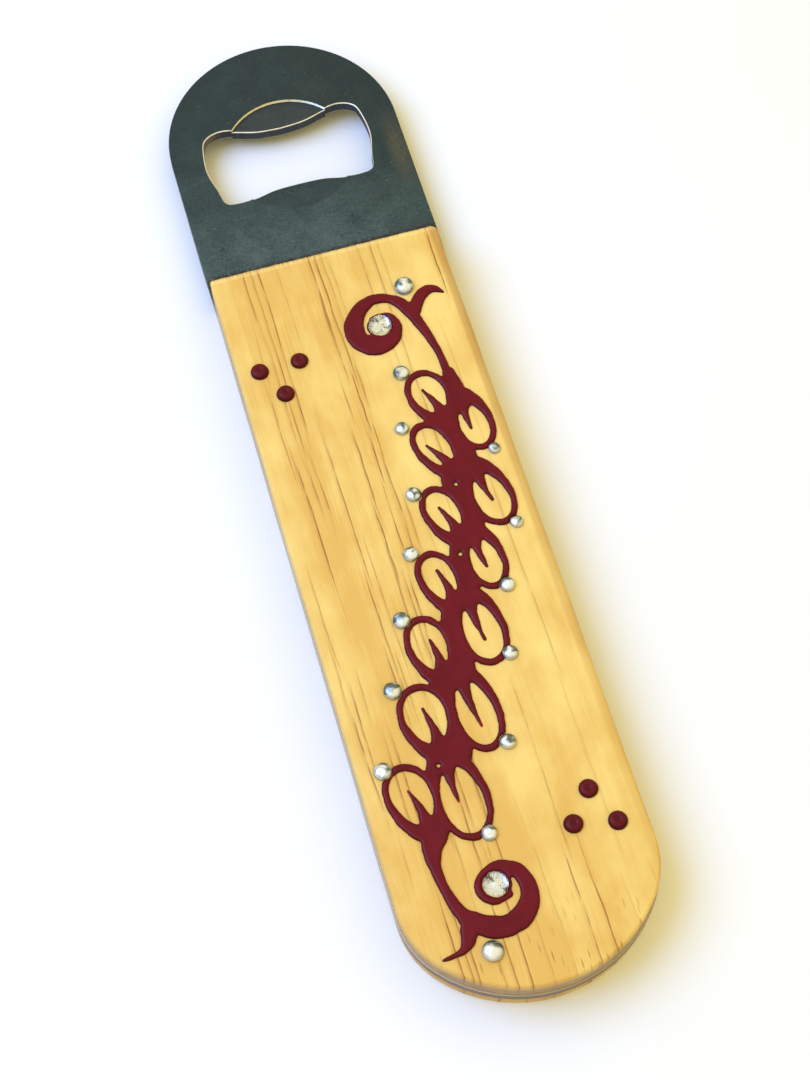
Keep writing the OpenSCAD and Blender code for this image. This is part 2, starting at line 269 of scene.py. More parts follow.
def edge_distance(points, loops):
    """Distance from each point to the nearest outline."""
    starts = np.vstack(loops)
    ends = np.vstack([np.roll(loop, -1, 0) for loop in loops])
    span = ends - starts
    size = np.sum(span * span, 1) + 1e-18
    found = np.empty(len(points))
    chunk = 400
    for k in range(0, len(points), chunk):
        gap = points[k:k + chunk, None, :] - starts[None]
        t = np.clip(np.sum(gap * span[None], 2) / size[None], 0, 1)
        gap -= t[..., None] * span[None]
        found[k:k + chunk] = np.sqrt(np.min(np.sum(gap * gap, 2), 1))
    return found


def lattice(loops, spacing):
    """Evenly staggered points inside the outlines, clear of their edges."""
    every = np.vstack(loops)
    low, high = every.min(0), every.max(0)
    row_gap = spacing * math.sqrt(3) / 2
    rows = []
    for k, y in enumerate(np.arange(low[1] + row_gap, high[1], row_gap)):
        x = np.arange(low[0] + spacing * (0.5 if k % 2 else 1.0), high[0], spacing)
        rows.append(np.column_stack([x, np.full(len(x), y)]))
    points = np.vstack(rows)
    points = points[inside(points, loops)]
    return points[edge_distance(points, loops) > 0.6 * spacing]


def triangulated(loops, extra):
    """Triangles that fill the outlines through extra inner points: points, then faces.
    The outline's points come first, in order."""
    points = np.vstack(loops + ([extra] if len(extra) else []))
    edges, start = [], 0
    for loop in loops:
        count = len(loop)
        edges += [(start + k, start + (k + 1) % count) for k in range(count)]
        start += count
    scale = 1 / MM
    made = geometry.delaunay_2d_cdt(
        [Vector(p * scale) for p in points], edges, [], 0, 1e-7, False)
    if len(made[0]) != len(points):
        raise RuntimeError("an outline crosses itself")
    corners = np.array([v[:] for v in made[0]]) / scale
    faces = np.array([f[:] for f in made[2]])
    kept = faces[inside(corners[faces].mean(1), loops)]
    return corners, kept


def ripple(place, size, seed):
    """Smooth noise from -1 to 1 that turns over about once per size."""
    return noise.noise(Vector(place) / size + Vector((seed * 17.3, seed * 5.1, seed * 9.7)))


def new_piece(name, mesh, materials, replaces=(), sharp=40.0):
    """Makes a mesh into a piece that rides on the opener and stands for some CAD nodes."""
    mesh.validate()
    for material in materials:
        mesh.materials.append(material)
    mesh.shade_smooth()
    mesh.set_sharp_from_angle(angle=math.radians(sharp))
    piece = bpy.data.objects.new(name, mesh)
    bpy.context.scene.collection.objects.link(piece)
    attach(piece, BODY)
    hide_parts(*replaces)
    return piece


def mesh_from(name, corners, faces, layers=()):
    """A mesh with float layers, each a name and a value for every corner."""
    mesh = bpy.data.meshes.new(name)
    mesh.from_pydata([tuple(c) for c in corners], [], [tuple(int(i) for i in f) for f in faces])
    for layer, values in layers:
        mesh.attributes.new(layer, "FLOAT", "POINT").data.foreach_set(
            "value", np.asarray(values, np.float32))
    return mesh


def turned_surface(rings, count):
    """Faces that join rings of count points each, closed by a point at each end."""
    faces = [(0, 1 + (k + 1) % count, 1 + k) for k in range(count)]
    for r in range(rings - 1):
        low, high = 1 + r * count, 1 + (r + 1) * count
        for k in range(count):
            after = (k + 1) % count
            faces.append((low + k, low + after, high + after, high + k))
    top, last = 1 + rings * count, 1 + (rings - 1) * count
    faces += [(last + k, last + (k + 1) % count, top) for k in range(count)]
    return faces


# ---------------------------------------------------------------- material helpers

class Recipe:
    """The node tree of one material. Places inside it are in millimetres."""

    def __init__(self, name):
        self.material = bpy.data.materials.new(name)
        self.material.use_nodes = True
        self.tree = self.material.node_tree
        self.shader = self.tree.nodes["Principled BSDF"]
        coordinates = self.add("ShaderNodeTexCoord").outputs["Object"]
        self.place = self.stretch(coordinates, (1000, 1000, 1000))
        parts = self.add("ShaderNodeSeparateXYZ")
        self.feed(parts.inputs[0], self.place)
        self.x, self.y, self.z = parts.outputs

    def add(self, kind, **settings):
        made = self.tree.nodes.new(kind)
        for name, value in settings.items():
            setattr(made, name, value)
        return made

    def feed(self, socket, value):
        if isinstance(value, bpy.types.NodeSocket):
            self.tree.links.new(value, socket)
        elif socket.type == "RGBA" and len(value) == 3:
            socket.default_value = (*value, 1.0)
        else:
            socket.default_value = value

    def math(self, operation, *values):
        made = self.add("ShaderNodeMath", operation=operation)
        for socket, value in zip(made.inputs, values):
            self.feed(socket, value)
        return made.outputs[0]

    def times(self, first, second):
        return self.math("MULTIPLY", first, second)

    def plus(self, first, second):
        return self.math("ADD", first, second)

    def minus(self, first, second):
        return self.math("SUBTRACT", first, second)

    def stretch(self, vector, factors):
        made = self.add("ShaderNodeVectorMath", operation="MULTIPLY")
        self.feed(made.inputs[0], vector)
        self.feed(made.inputs[1], factors)
        return made.outputs[0]

    def joined(self, x, y, z):
        made = self.add("ShaderNodeCombineXYZ")
        for socket, value in zip(made.inputs, (x, y, z)):
            self.feed(socket, value)
        return made.outputs[0]

    def cloud(self, vector, scale, detail=3.0, rough=0.5, bend=0.0):
        """Noise from about 0.2 to 0.8 with scale turns per millimetre."""
        made = self.add("ShaderNodeTexNoise")
        self.feed(made.inputs["Vector"], vector)
        names = ("Scale", "Detail", "Roughness", "Distortion")
        for name, value in zip(names, (scale, detail, rough, bend)):
            self.feed(made.inputs[name], value)
        return made.outputs["Fac"]

    def streaks(self, across, turns_across, turns_along, z, detail, rough=0.5):
        """Noise with its own number of turns per millimetre across and along the handle."""
        place = self.joined(self.times(across, turns_across), self.times(self.y, turns_along), z)
        return self.cloud(place, 1.0, detail, rough)

    def reach(self, x, y, stretched):
        """Distance in millimetres from a spot, with the way along the handle stretched."""
        far_x = self.minus(self.x, x)
        far_y = self.times(self.minus(self.y, y), stretched)
        return self.math("SQRT", self.plus(self.times(far_x, far_x), self.times(far_y, far_y)))

    def cells(self, vector, scale, feature="F1"):
        made = self.add("ShaderNodeTexVoronoi", feature=feature)
        self.feed(made.inputs["Vector"], vector)
        self.feed(made.inputs["Scale"], scale)
        return made.outputs["Distance"]

    def spread(self, value, low, high, to_low=0.0, to_high=1.0, smooth=False):
        """Takes low..high to to_low..to_high, held at both ends."""
        way = "SMOOTHSTEP" if smooth else "LINEAR"
        made = self.add("ShaderNodeMapRange", interpolation_type=way)
        for socket, item in zip(made.inputs, (value, low, high, to_low, to_high)):
            self.feed(socket, item)
        return made.outputs["Result"]

    def blend(self, factor, first, second, way="MIX"):
        """Mixes two colours."""
        made = self.add("ShaderNodeMix", data_type="RGBA", blend_type=way)
        sockets = (made.inputs[0], made.inputs[6], made.inputs[7])
        for socket, value in zip(sockets, (factor, first, second)):
            self.feed(socket, value)
        return made.outputs[2]

    def either(self, factor, first, second):
        """Mixes two numbers."""
        made = self.add("ShaderNodeMix", data_type="FLOAT")
        for socket, value in zip(made.inputs[:1] + made.inputs[2:4], (factor, first, second)):
            self.feed(socket, value)
        return made.outputs[0]

    def layer(self, name):
        """A value kept on the mesh's points or faces."""
        return self.add("ShaderNodeAttribute", attribute_name=name).outputs["Fac"]

    def relief(self, height, depth, under=None):
        """Bump of a 0..1 height that stands depth millimetres tall."""
        made = self.add("ShaderNodeBump")
        made.inputs["Strength"].default_value = 1.0
        made.inputs["Distance"].default_value = depth * MM
        self.feed(made.inputs["Height"], height)
        if under is not None:
            self.feed(made.inputs["Normal"], under)
        return made.outputs["Normal"]

    def done(self, **sockets):
        """Feeds the shader's sockets, named with underscores for spaces, and gives the material."""
        for name, value in sockets.items():
            self.feed(self.shader.inputs[name.replace("_", " ")], value)
        return self.material


# ---------------------------------------------------------------- pine

# Dark summer-wood lines of the front board, from the saw-cut end down to the round end.
# Each band has its upper end along the handle, then lines as (place across, darkness), in mm.
FRONT_LEFT_LINES = [
    (39, [(-13.8, 0.7), (-12.4, 0.5), (-11.1, 0.9), (-8.0, 0.3),
        (-2.4, 0.8), (-1.4, 0.9), (-0.3, 0.4)]),
    (27, [(-15.0, 0.4), (-13.4, 0.7), (-12.4, 0.9), (-11.2, 0.9),
        (-2.6, 0.9), (-1.4, 0.7), (-0.3, 0.3)]),
    (17, [(-15.5, 0.6), (-13.5, 0.5), (-12.8, 0.6), (-11.4, 0.9),
        (-3.9, 0.6), (-1.9, 0.9), (-0.9, 0.6)]),
    (5, [(-14.8, 0.9), (-13.2, 0.6), (-12.1, 0.6), (-9.3, 0.7),
        (-4.7, 0.8), (-2.4, 0.9), (-1.3, 0.8)]),
    (-9, [(-14.7, 0.9), (-9.3, 0.7), (-5.1, 0.9), (-2.9, 0.9), (-1.5, 0.7), (-0.3, 0.5)]),
    (-21, [(-18.0, 0.5), (-9.8, 0.8), (-8.1, 0.5), (-5.3, 0.7), (-3.5, 0.9), (-4.2, 0.7)]),
    (-34, [(-18.4, 0.5), (-17.2, 0.8), (-15.7, 0.4), (-10.5, 0.8),
        (-9.2, 0.5), (-6.9, 0.4), (-4.0, 0.9)]),
    (-46, [(-18.0, 0.8), (-14.6, 0.7), (-13.4, 0.8), (-9.9, 0.6),
        (-6.4, 0.7), (-4.1, 0.9), (-3.4, 0.8)]),
    (-60, [(-17.2, 0.4), (-13.2, 0.7), (-9.6, 0.5), (-7.2, 0.8), (-6.0, 0.4), (-4.0, 0.7)]),
    (-71, [(-14.3, 0.9), (-13.0, 0.7), (-12.2, 0.7), (-9.0, 0.4),
        (-7.5, 0.7), (-5.4, 0.8), (-2.2, 0.3)]),
]
FRONT_RIGHT_LINES = [
    (39, [(0.6, 0.3), (5.9, 0.5), (8.0, 0.6), (9.4, 0.3), (17.5, 0.9)]),
    (24, [(6.0, 0.3), (7.8, 0.5), (14.6, 0.2)]),
    (-12, [(1.6, 0.2), (13.4, 0.4)]),
    (-44, [(5.8, 0.4), (13.0, 0.2)]),
    (-72, [(1.0, 0.3), (5.0, 0.7), (7.6, 0.8), (11.5, 0.2)]),
]
BACK_LEFT_LINES = [
    (39, [(-16.5, 0.5), (-12.0, 0.8), (-7.4, 0.7), (-5.9, 0.4), (-1.2, 0.6)]),
    (6, [(-15.1, 0.7), (-10.8, 0.6), (-7.0, 0.9), (-4.1, 0.5), (-0.9, 0.4)]),
    (-30, [(-17.0, 0.6), (-11.5, 0.9), (-8.6, 0.5), (-3.2, 0.8)]),
    (-58, [(-14.2, 0.6), (-9.9, 0.8), (-6.1, 0.7), (-2.0, 0.5)]),
]
BACK_RIGHT_LINES = [
    (39, [(2.4, 0.6), (6.7, 0.8), (11.9, 0.5), (15.2, 0.7)]),
    (-4, [(1.8, 0.5), (7.2, 0.9), (10.4, 0.6), (16.3, 0.5)]),
    (-48, [(3.6, 0.8), (8.0, 0.5), (12.7, 0.7)]),
]


def grain_lines(r, across, along, bands, low, high):
    """Thin dark lines of the bands between low and high across the board. Each darkens slowly from
    one side, stops sharply at the other and fades out raggedly along the board."""
    soft_side, near_side, sharp_side = 0.60, 0.18, 0.14
    near_share, tightest, fade = 0.24, 0.02, 3
    at = r.spread(across, low, high)
    total = None
    for upper_end, lines in bands:
        ramp = r.add("ShaderNodeValToRGB")
        points = ramp.color_ramp.elements
        points.remove(points[1])
        points[0].position = 0.0
        points[0].color = (0, 0, 0, 1)
        last = low
        for centre, dark in sorted(lines):
            stops = (
                (max(centre - soft_side, last + tightest), 0.0),
                (centre - near_side, near_share * dark),
                (centre, dark),
                (centre + sharp_side, 0.0),
            )
            for place, value in stops:
                point = points.new((place - low) / (high - low))
                point.color = (value, value, value, 1)
            last = centre + sharp_side
        r.feed(ramp.inputs[0], at)
        shade = ramp.outputs[0]
        if total is None:
            total = shade
        else:
            total = r.blend(r.spread(along, upper_end + fade, upper_end - fade), total, shade)
    return total


# colour of the painted highlight along the saw-cut edge
SAW_EDGE_HIGHLIGHT = (0.90, 0.78, 0.42)
# How warm the wood is across the board: place in mm, then share.
WARM_BANDS = [
    (-20.0, 0.30), (-17.0, 0.35), (-13.6, 0.75), (-12.0, 0.80), (-10.4, 0.45), (-8.0, 0.34),
    (-5.5, 0.38), (-3.2, 0.60), (-1.2, 0.62), (1.0, 0.18), (5.5, 0.10), (8.0, 0.30),
    (10.0, 0.08), (14.0, 0.05), (18.0, 0.22), (20.0, 0.30),
]


def warm_bands(r, across):
    """Bands of warmer wood that run the whole length of a board."""
    ramp = r.add("ShaderNodeValToRGB")
    points = ramp.color_ramp.elements
    points.remove(points[1])
    half = 20.0
    for k, (place, warm) in enumerate(WARM_BANDS):
        at = (place + half) / (2 * half)
        point = points[0] if k == 0 else points.new(at)
        point.position = at
        point.color = (warm, warm, warm, 1)
    r.feed(ramp.inputs[0], r.spread(across, -half, half))
    return ramp.outputs[0]


def pine(name, left_lines, right_lines, seed):
    """Sanded pine: warm patches, summer-wood lines, fine fibres, pores and a smudged round end, the
    smudge partly painted shade; a painted shade band runs along the right edge and a painted highlight
    along the saw-cut edge.
    """
    looks = bpy.context.scene.opener_pine
    r = Recipe(name)
    cut = SAW_CUT_Y / MM

    lean = 0.014
    wander = r.cloud(r.stretch(r.place, (0.10, 0.035, 0.2)), 1.0, 2.0)
    wobble = r.cloud(r.stretch(r.place, (0.45, 0.20, 0.2)), 1.0, 2.0)
    across = r.plus(r.x, r.times(r.y, lean))
    across = r.plus(across, r.times(r.minus(wander, 0.5), 1.3))
    across = r.plus(across, r.times(r.minus(wobble, 0.5), 0.4))
    ragged = r.streaks(r.x, 1.7, 0.03, seed, 1.0)
    along = r.plus(r.y, r.times(r.minus(ragged, 0.5), 34.0))

    left = grain_lines(r, across, along, left_lines, -20.0, 0.0)
    right = grain_lines(r, across, along, right_lines, 0.0, 20.0)
    broken = r.streaks(r.x, 2.6, 0.20, seed + 3, 3.0, 0.65)
    lines = r.times(r.plus(left, right), r.spread(broken, 0.36, 0.47, 0.20, 1.0))

    fibre = r.streaks(across, 3.2, 0.07, r.times(r.z, 2.0), 4.0, 0.62)
    soft_bands = r.streaks(across, 0.55, 0.012, seed + 8, 2.0)
    patches = r.streaks(r.x, 0.17, 0.10, seed + 12, 3.0, 0.55)
    from_middle = r.math("ABSOLUTE", r.plus(r.y, 12.0))
    ends = r.spread(from_middle, 22.0, 62.0, 0.0, 0.27, smooth=True)
    warmth = r.plus(r.spread(patches, 0.35, 0.70, 0.0, 0.62), ends)
    warmth = r.plus(warmth, warm_bands(r, across))
    warmth = r.plus(warmth, r.spread(soft_bands, 0.45, 0.72, 0.0, 0.18))
    warmth = r.times(warmth, r.spread(fibre, 0.2, 0.75, 0.70, 1.15))

    wood = r.blend(r.math("MINIMUM", warmth, 1.0), looks.pale, looks.warm)
    halo = r.times(r.spread(fibre, 0.60, 0.80, 0.0, 0.11), r.spread(r.x, 4.0, -6.0, 0.35, 1.0))
    wood = r.blend(halo, wood, looks.line)
    wood = r.blend(r.math("MINIMUM", r.times(lines, 1.25), 1.0), wood, looks.line)
    # painted shade: a darker band along the board's right edge, the side away from the light
    right_edge_shade = r.times(r.spread(r.x, 17.45, 17.95), r.spread(r.y, -60.0, 20.0, 0.10, 0.42))
    wood = r.blend(right_edge_shade, wood, looks.line)

    dash_cells = r.cells(r.joined(r.times(r.x, 1.5), r.times(r.y, 0.20), seed), 1.0)
    dashes = r.times(r.spread(dash_cells, 0.23, 0.10), r.spread(r.y, -73.0, -84.0))
    wood = r.blend(r.times(dashes, 0.6), wood, looks.line)

    front_top, back_top, back_low = FRONT_HIGH.z / MM, BACK_HIGH.z / MM, BACK_LOW.z / MM
    depth = r.math("MINIMUM", r.minus(front_top, r.z), r.minus(r.z, back_low))
    dusty = r.cloud(r.stretch(r.place, (0.5, 0.5, 0.9)), 1.0, 4.0, 0.6)
    on_side = r.spread(depth, 0.35, 0.95, smooth=True)
    side_tone = r.times(on_side, r.spread(dusty, 0.3, 0.7, 0.05, 0.22))
    wood = r.blend(side_tone, wood, looks.line)
    # steel dust and painted shade: the sides of the round end darken towards the smudge colour
    end_round = r.spread(r.y, -62.0, -78.0, smooth=True)
    above = r.spread(r.z, back_top - 0.6, back_top, 0.22, 1.0)
    end_dust_and_shade = r.times(r.times(r.spread(depth, 0.8, 2.6, smooth=True), above), end_round)
    end_dust_and_shade = r.times(end_dust_and_shade, r.spread(dusty, 0.25, 0.6, 0.40, 0.90))
    wood = r.blend(end_dust_and_shade, wood, looks.smudge_and_shade)

    end_place = r.joined(r.times(across, 2.2), 0.0, r.times(r.z, 0.5))
    end_streak = r.cloud(end_place, 1.0, 3.0, 0.7)
    # painted highlight: a pale line along the top of the saw-cut edge
    saw_edge_highlight = r.times(r.spread(r.y, cut - 1.1, cut - 0.75), r.spread(end_streak, 0.3, 0.6, 0.5, 0.05))
    wood = r.blend(saw_edge_highlight, wood, SAW_EDGE_HIGHLIGHT)
    saw_face = r.times(
        r.spread(r.y, cut - 0.50, cut - 0.18), r.spread(end_streak, 0.35, 0.65, 0.15, 0.75))
    wood = r.blend(saw_face, wood, looks.line)

    grain_height = r.minus(r.spread(fibre, 0.2, 0.8), r.times(lines, 0.6))
    return r.done(
        Base_Color=wood, Roughness=r.spread(fibre, 0.2, 0.8, 0.60, 0.48),
        Normal=r.relief(grain_height, 0.02), Specular_IOR_Level=0.38)


def board_rings(outline, low, high, rounded_up, looks, seed):
    """Rings of a board from its glued face to its outer face: each is an array of x, y, z."""
    normals = outward(outline)
    saw_side = np.clip((outline[:, 1] - (SAW_CUT_Y - 2.5 * MM)) / (2.0 * MM), 0, 1)
    wander = np.array([ripple((*p, 0), 0.013, seed) for p in outline])
    fuzz = np.array([ripple((*p, 0), 0.0011, seed + 1) for p in outline])
    sanded = np.clip(looks.sanding_wander * (0.5 + wander), 0, None)
    by_right = np.clip(outline[:, 0] / (17.0 * MM), -1, 1) * 0.26 + 0.66
    by_end = np.clip((outline[:, 1] + 62.0 * MM) / (14.0 * MM), 0, 1)
    by_saw = np.clip((SAW_CUT_Y - outline[:, 1]) / (5.0 * MM), 0.35, 1)
    unevenness = 1 + 0.16 * np.array([ripple((*p, 0), 0.02, seed + 2) for p in outline])
    edge_round = looks.edge_round * unevenness * by_saw * (0.42 + (by_right - 0.42) * by_end)
    steps = 9
    levels = [(0.00, 0.04), (0.03, 0.0), (0.5, 0.0)]
    rings = []
    for share_up, inset in levels:
        depth = (high - low) * share_up
        rings.append((np.full(len(outline), depth), np.full(len(outline), inset * MM)))
    for k in range(steps + 1):
        turn = math.pi / 2 * k / steps
        rings.append((
            (high - low) - edge_round * (1 - math.sin(turn)),
            edge_round * (1 - math.cos(turn)),
        ))
    made = []
    for depth, inset in rings:
        pull = inset + sanded
        flat_end = 1 - saw_side * np.clip(normals[:, 1], 0, 1)
        shift_x = -normals[:, 0] * pull
        shift_y = -normals[:, 1] * (pull * flat_end + (1 - flat_end) * (
            0.3 * inset + looks.saw_wander * (0.5 + 0.5 * fuzz)))
        z = low + depth if rounded_up else high - depth
        made.append(np.column_stack([outline[:, 0] + shift_x, outline[:, 1] + shift_y, z]))
    return made


def board(node, name, material, seed):
    """One pine board: sanded round its sides and its round end, saw-cut at the other."""
    looks = bpy.context.scene.opener_pine
    low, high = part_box(node)
    front = low.z > STEEL_MIDDLE
    glued_z = low.z if front else high.z
    outline = max(loops_at(node, glued_z), key=lambda p: abs(signed_area(p)))
    if signed_area(outline) < 0:
        outline = outline[::-1]
    outline = resampled(outline, 0.55 * MM)
    rings = board_rings(outline, low.z, high.z, front, looks, seed)
    count = len(outline)
    face_loop = rings[-1][:, :2]
    inner = lattice([face_loop], 2.2 * MM)
    flat_corners, flat_faces = triangulated([face_loop], inner)
    face_z = np.concatenate([rings[-1][:, 2], np.full(len(inner), high.z if front else low.z)])
    glue_faces = triangulated([rings[0][:, :2]], np.empty((0, 2)))[1]
    corners = np.vstack(rings[:-1] + [np.column_stack([flat_corners, face_z])])
    faces = []
    for r in range(len(rings) - 1):
        for k in range(count):
            after = (k + 1) % count
            here, above = r * count, (r + 1) * count
            faces.append((here + k, here + after, above + after, above + k))
    top = (len(rings) - 1) * count
    faces += [tuple(int(i) + top for i in f) for f in flat_faces]
    faces += [tuple(int(i) for i in f[::-1]) for f in glue_faces]
    if not front:
        faces = [f[::-1] for f in faces]
    mesh = mesh_from(name, corners, faces)
    return new_piece(name, mesh, [material], [node], sharp=50.0)


class OPENER_OT_pine_boards(bpy.types.Operator):
    """Make the two pine boards of the handle"""

    bl_idname = "opener.pine_boards"
    bl_label = "Pine Boards"

    def execute(self, context):
        front = pine("pine_front", FRONT_LEFT_LINES, FRONT_RIGHT_LINES, 1.0)
        board("front_scale", "front_board", front, 1)
        back = pine("pine_back", BACK_LEFT_LINES, BACK_RIGHT_LINES, 31.0)
        board("back_scale", "back_board", back, 5)
        return {"FINISHED"}


# ---------------------------------------------------------------- steel

MOUTH_REACH_X = 16.0 * MM
MOUTH_LOW_Y = 50.0 * MM
MOUTH_HIGH_Y = 77.0 * MM
LENS_STEP = 1.0 * MM
LENS_LEAST = 0.05 * MM
STEEP, FACING, LEVEL = 0.5, 0.9, 0.97
PIT = (0.012, 0.016, 0.018)
# colour of the painted shadow on the steel beside the boards' saw-cut end
SAW_CUT_SHADOW = (0.022, 0.014, 0.007)
UPPER_LENS_GREY = (0.062, 0.062, 0.070)
# near-black colours of the sheared walls at the head, painted shade
SHADED_SHEAR_LOW, SHADED_SHEAR_HIGH = (0.012, 0.017, 0.024), (0.030, 0.037, 0.048)
LEFT_LOBE_TAN = (0.150, 0.112, 0.062)
# colour of steel dust and painted shade on the walls at the round end
DUSTY_SHADED_STEEL = (0.20, 0.150, 0.120)


def blued_steel():
    """Blued mild steel: mottled, specked, lightly scratched and stained beside the mouth, with painted
    shade towards the head and the right side and a painted shadow beside the boards' saw-cut end.
    """
    looks = bpy.context.scene.opener_steel
    r = Recipe("blued_steel_face")
    cut = SAW_CUT_Y / MM
    clouds = r.cloud(r.place, 0.22, 4.0, 0.62)
    fine = r.cloud(r.place, 1.6, 4.0, 0.7)
    grit = r.cloud(r.place, 4.5, 2.0, 0.7)
    tone = r.plus(r.spread(clouds, 0.3, 0.7, 0.0, 0.36), r.spread(fine, 0.3, 0.7, 0.0, 0.34))
    tone = r.plus(tone, r.spread(grit, 0.3, 0.7, 0.0, 0.36))
    metal = r.blend(tone, looks.blued, looks.dark)
    # painted shade: the blued face darkens towards the head and towards the right side, in the
    # dark-patch colour
    for way, start, end, shade_share in (
            (r.y, 42.0, 57.0, 0.58), (r.y, 57.0, 74.0, 0.50), (r.x, 6.0, 16.0, 0.30)):
        metal = r.blend(r.spread(way, start, end, 0.0, shade_share), metal, looks.dark)
    pressed = r.layer("pressed")
    # the lower lens floor is made darker and the upper one a more neutral grey
    metal = r.blend(r.times(pressed, r.spread(r.y, 62.0, 58.0, 0.0, 0.30)), metal, looks.dark)
    metal = r.blend(r.times(pressed, r.spread(r.y, 62.0, 66.0, 0.0, 0.24)), metal, UPPER_LENS_GREY)

    stain = r.times(
        r.spread(r.reach(18.4, 59.0, 0.24), 2.6, 0.3, smooth=True),
        r.spread(fine, 0.35, 0.6, 0.10, 0.60))
    film = r.times(
        r.spread(r.reach(6.5, 75.5, 1.6), 5.5, 1.0, smooth=True),
        r.spread(fine, 0.50, 0.65, 0.0, 0.25))
    metal = r.blend(r.math("MAXIMUM", stain, film), metal, looks.stain)

    specks = r.times(
        r.spread(r.cells(r.place, 0.75), 0.10, 0.05),
        r.spread(r.cloud(r.place, 0.35, 2.0), 0.50, 0.62))
    metal = r.blend(r.times(specks, 0.14), metal, looks.bare)
    pits = r.times(
        r.spread(r.cells(r.stretch(r.place, (1.0, 0.8, 1.0)), 0.55), 0.12, 0.05),
        r.spread(clouds, 0.52, 0.6))
    metal = r.blend(r.times(pits, 0.7), metal, PIT)

    scratches = None
    for turn, fineness in ((0.5, 1.1), (-0.9, 0.8), (1.25, 1.0)):
        spun = r.add("ShaderNodeVectorRotate", rotation_type="Z_AXIS")
        r.feed(spun.inputs["Vector"], r.place)
        spun.inputs["Angle"].default_value = turn
        thin = r.cloud(r.stretch(spun.outputs[0], (7.0 * fineness, 0.12, 1.0)), 1.0, 1.0)
        mark = r.spread(thin, 0.735, 0.78)
        scratches = mark if scratches is None else r.math("MAXIMUM", scratches, mark)
    metal = r.blend(r.times(scratches, 0.05), metal, looks.bare)

    # painted shadow: a patchy dark strip on the steel just past the boards' saw-cut end, where the
    # boards' edge and the gap throw shade
    saw_shadow = r.times(r.spread(r.y, cut + 3.75, cut + 3.15), r.spread(fine, 0.38, 0.56, 0.1, 0.85))
    metal = r.blend(saw_shadow, metal, SAW_CUT_SHADOW)
    metal = r.blend(r.spread(r.y, cut - 0.5, cut - 4.0), metal, looks.sanded)
    roughness = r.plus(r.spread(fine, 0.3, 0.7, 0.40, 0.56), r.times(scratches, -0.03))
    height = r.minus(r.spread(fine, 0.2, 0.8), r.times(scratches, 0.3))
    return r.done(
        Base_Color=metal, Metallic=0.30, Roughness=roughness, Specular_IOR_Level=0.30,
        Normal=r.relief(height, 0.006))


def bright_steel():
    """Punched edges with wear, where bare steel shows through the bluing in patches; towards the lower
    lip they take the blued colour as painted shade. Its normals lean up, as on an edge that the punch
    has rolled over."""
    looks = bpy.context.scene.opener_steel
    r = Recipe("bare_steel_edge")
    patches = r.cloud(r.place, 0.9, 3.0, 0.6)
    fine = r.cloud(r.stretch(r.place, (3.0, 3.0, 1.2)), 1.0, 3.0, 0.6)
    metal = r.blend(r.spread(patches, 0.50, 0.70, 0.0, 0.35), looks.bare, looks.stain)
    metal = r.blend(r.spread(fine, 0.55, 0.7, 0.0, 0.15), metal, looks.stain)
    # painted shade: low on the mouth the edge takes the blued colour, so only the upper edges stay
    # bright
    metal = r.blend(r.spread(r.y, 62.0, 57.0, 0.0, 0.85), metal, looks.blued)
    leaning = r.add("ShaderNodeVectorMath", operation="ADD")
    r.feed(leaning.inputs[0], r.add("ShaderNodeNewGeometry").outputs["Normal"])
    leaning.inputs[1].default_value = (0.0, 0.0, 1.30)
    rolled = r.add("ShaderNodeVectorMath", operation="NORMALIZE")
    r.feed(rolled.inputs[0], leaning.outputs[0])
    return r.done(
        Base_Color=metal, Metallic=0.5, Roughness=r.spread(fine, 0.3, 0.7, 0.30, 0.46),
        Normal=r.relief(fine, 0.01, rolled.outputs[0]))


def sheared_steel():
    """Side walls of the plate: sheared at the head and laid on near black there as painted shade, sanded
    bright along the handle.
    """
    looks = bpy.context.scene.opener_steel
    r = Recipe("sheared_steel_side")
    shear = r.cloud(r.stretch(r.place, (2.4, 2.4, 0.25)), 1.0, 3.0, 0.6)
    sanding = r.cloud(r.stretch(r.place, (0.25, 0.25, 9.0)), 1.0, 3.0, 0.6)
    # painted shade: the walls at the head, the mouth's walls among them, are laid on near black
    dark = r.blend(r.spread(shear, 0.3, 0.7), SHADED_SHEAR_LOW, SHADED_SHEAR_HIGH)
    # the wall of the mouth's left lobe is laid on in a lighter tan
    dark = r.blend(r.spread(r.x, -10.0, -13.0, smooth=True), dark, LEFT_LOBE_TAN)
    in_groove = tuple(0.8 * c for c in looks.sanded)
    sanded = r.blend(r.spread(sanding, 0.35, 0.65), in_groove, looks.sanded)
    # steel dust and painted shade: the sanded walls darken at the round end
    sanded = r.blend(r.spread(r.y, -66.0, -80.0, smooth=True), sanded, DUSTY_SHADED_STEEL)
    handle = r.spread(r.y, SAW_CUT_Y / MM + 1.0, SAW_CUT_Y / MM - 3.0)
    metal = r.blend(handle, dark, sanded)
    return r.done(
        Base_Color=metal, Metallic=0.25, Roughness=r.either(handle, 0.55, 0.60),
        Normal=r.relief(r.either(handle, shear, sanding), 0.012))


